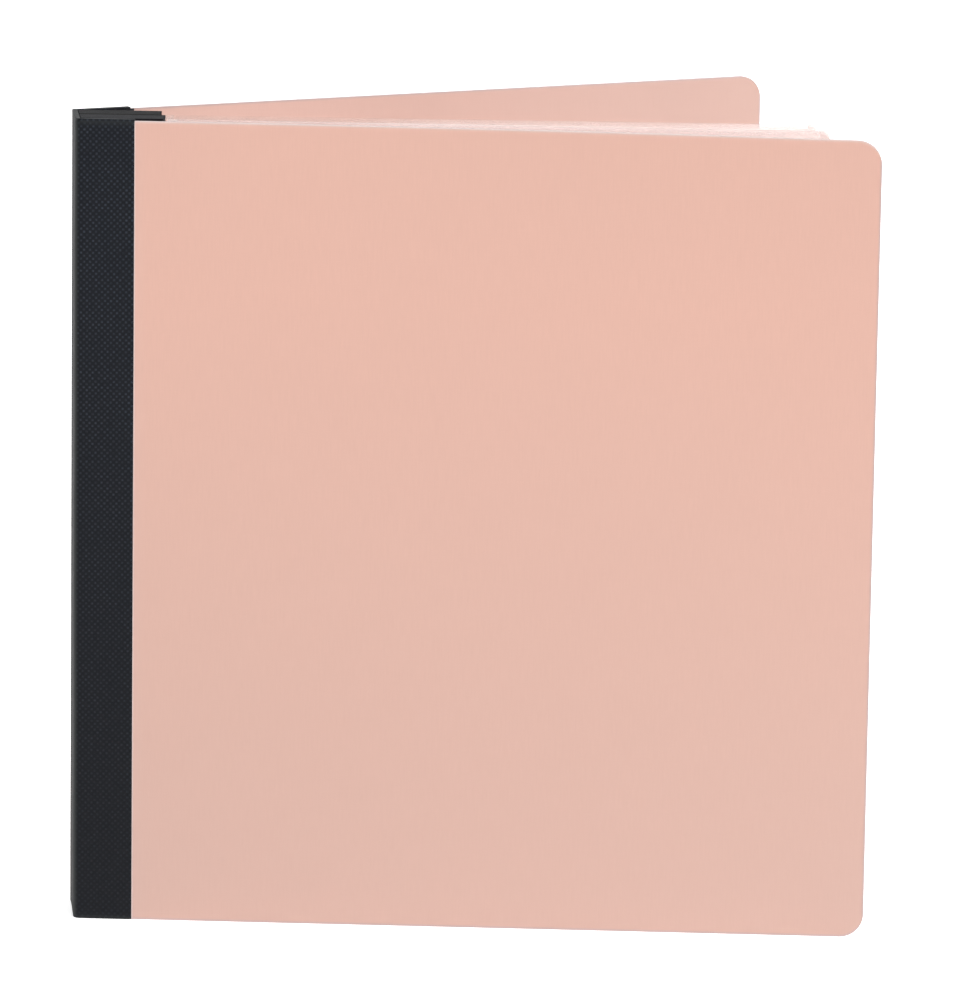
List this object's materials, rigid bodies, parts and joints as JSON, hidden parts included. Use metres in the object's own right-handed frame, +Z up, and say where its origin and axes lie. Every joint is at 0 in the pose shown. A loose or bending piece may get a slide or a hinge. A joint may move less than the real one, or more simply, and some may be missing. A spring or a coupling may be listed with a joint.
{
  "type": "scrapbook album",
  "caption": "Standing scrapbook album: two flexible pink board covers on a black cloth spine, with a fan of clear page protectors bound on black guard strips.",
  "frame": {"origin": "centre of the album's box, at the level of the lower edges it stands on, in the stored pose", "axes": "+Z up along the spine, +X from the spine to the fore edge, -Y to the front cover, +Y to the back cover"},
  "size_m": [0.2146, 0.1304, 0.2164],
  "materials": {
    "bookcloth": "black embossed bookcloth with a fine diamond dot grain, low sheen",
    "joint_cloth": "plain black joint cloth, matt",
    "cover_paper": "blush pink cover paper with a very fine linen texture, matt",
    "cover_board": "pale grey bookboard core, seen only at the cut edges",
    "guard_board": "black binding guard strips, matt",
    "liner_card": "thin spine stiffening card",
    "hot_melt": "hot-melt adhesive, slightly translucent",
    "staple_wire": "galvanised steel staple wire",
    "clear_film": "clear polypropylene film, glossy, slightly milky at welds and edges"
  },
  "bodies": {
    "binding": {"spine_cloth": "bookcloth", "spine_liner": "liner_card", "spine_glue": "hot_melt", "guard_strip_01": "guard_board", "guard_strip_02": "guard_board", "guard_strip_03": "guard_board", "guard_strip_04": "guard_board", "guard_strip_05": "guard_board", "guard_strip_06": "guard_board", "guard_strip_07": "guard_board", "guard_strip_08": "guard_board", "guard_strip_09": "guard_board", "guard_strip_10": "guard_board", "binding_staples": "staple_wire"},
    "front_cover": {"front_tape": "bookcloth", "front_outer_paper": "cover_paper", "front_board": "cover_board", "front_inner_paper": "cover_paper", "front_joint_strip": "joint_cloth"},
    "back_cover": {"back_tape": "bookcloth", "back_outer_paper": "cover_paper", "back_board": "cover_board", "back_inner_paper": "cover_paper", "back_joint_strip": "joint_cloth"},
    "leaf_01": {"sleeve_01_front_film": "clear_film", "sleeve_01_rear_film": "clear_film"},
    "leaf_02": {"sleeve_02_front_film": "clear_film", "sleeve_02_rear_film": "clear_film"},
    "leaf_03": {"sleeve_03_front_film": "clear_film", "sleeve_03_rear_film": "clear_film"},
    "leaf_04": {"sleeve_04_front_film": "clear_film", "sleeve_04_rear_film": "clear_film"},
    "leaf_05": {"sleeve_05_front_film": "clear_film", "sleeve_05_rear_film": "clear_film"},
    "leaf_06": {"sleeve_06_front_film": "clear_film", "sleeve_06_rear_film": "clear_film"},
    "leaf_07": {"sleeve_07_front_film": "clear_film", "sleeve_07_rear_film": "clear_film"},
    "leaf_08": {"sleeve_08_front_film": "clear_film", "sleeve_08_rear_film": "clear_film"},
    "leaf_09": {"sleeve_09_front_film": "clear_film", "sleeve_09_rear_film": "clear_film"},
    "leaf_10": {"sleeve_10_front_film": "clear_film", "sleeve_10_rear_film": "clear_film"}
  },
  "joints": [
    {"name": "front_cover_hinge", "type": "hinge", "parent": "binding", "child": "front_cover", "pos_m": [-0.1028, -0.06205, 0], "axis": [0, 0, -1], "range_deg": [-1, 179]},
    {"name": "back_cover_hinge", "type": "hinge", "parent": "binding", "child": "back_cover", "pos_m": [-0.1061, -0.04055, 0], "axis": [0, 0, 1], "range_deg": [-30.2, 149.8]},
    {"name": "leaf_01_hinge", "type": "hinge", "parent": "binding", "child": "leaf_01", "pos_m": [-0.0812, -0.05888, 0], "axis": [0, 0, -1], "range_deg": [-0.45, 80.55]},
    {"name": "leaf_02_hinge", "type": "hinge", "parent": "binding", "child": "leaf_02", "pos_m": [-0.0812, -0.05724, 0], "axis": [0, 0, -1], "range_deg": [-0.36, 64.44]},
    {"name": "leaf_03_hinge", "type": "hinge", "parent": "binding", "child": "leaf_03", "pos_m": [-0.0812, -0.0556, 0], "axis": [0, 0, -1], "range_deg": [-0.27, 48.34]},
    {"name": "leaf_04_hinge", "type": "hinge", "parent": "binding", "child": "leaf_04", "pos_m": [-0.0812, -0.05396, 0], "axis": [0, 0, -1], "range_deg": [-0.18, 32.22]},
    {"name": "leaf_05_hinge", "type": "hinge", "parent": "binding", "child": "leaf_05", "pos_m": [-0.0812, -0.05232, 0], "axis": [0, 0, -1], "range_deg": [-0.09, 16.11]},
    {"name": "leaf_06_hinge", "type": "hinge", "parent": "binding", "child": "leaf_06", "pos_m": [-0.0828, -0.05028, 0], "axis": [0, 0, 1], "range_deg": [-0.15, 0.7]},
    {"name": "leaf_07_hinge", "type": "hinge", "parent": "binding", "child": "leaf_07", "pos_m": [-0.0828, -0.04864, 0], "axis": [0, 0, 1], "range_deg": [-0.29, 1.39]},
    {"name": "leaf_08_hinge", "type": "hinge", "parent": "binding", "child": "leaf_08", "pos_m": [-0.0828, -0.047, 0], "axis": [0, 0, 1], "range_deg": [-0.42, 2.09]},
    {"name": "leaf_09_hinge", "type": "hinge", "parent": "binding", "child": "leaf_09", "pos_m": [-0.0828, -0.04536, 0], "axis": [0, 0, 1], "range_deg": [-0.56, 2.78]},
    {"name": "leaf_10_hinge", "type": "hinge", "parent": "binding", "child": "leaf_10", "pos_m": [-0.0828, -0.04372, 0], "axis": [0, 0, 1], "range_deg": [-0.71, 3.48]}
  ],
  "couplings": [
    {"joint": "leaf_01_hinge", "follows": "front_cover_hinge", "ratio": 0.45},
    {"joint": "leaf_02_hinge", "follows": "front_cover_hinge", "ratio": 0.36},
    {"joint": "leaf_03_hinge", "follows": "front_cover_hinge", "ratio": 0.27},
    {"joint": "leaf_04_hinge", "follows": "front_cover_hinge", "ratio": 0.18},
    {"joint": "leaf_05_hinge", "follows": "front_cover_hinge", "ratio": 0.09},
    {"joint": "leaf_06_hinge", "follows": "back_cover_hinge", "ratio": 0.004636},
    {"joint": "leaf_07_hinge", "follows": "back_cover_hinge", "ratio": 0.009272},
    {"joint": "leaf_08_hinge", "follows": "back_cover_hinge", "ratio": 0.013907},
    {"joint": "leaf_09_hinge", "follows": "back_cover_hinge", "ratio": 0.018543},
    {"joint": "leaf_10_hinge", "follows": "back_cover_hinge", "ratio": 0.023179}
  ]
}
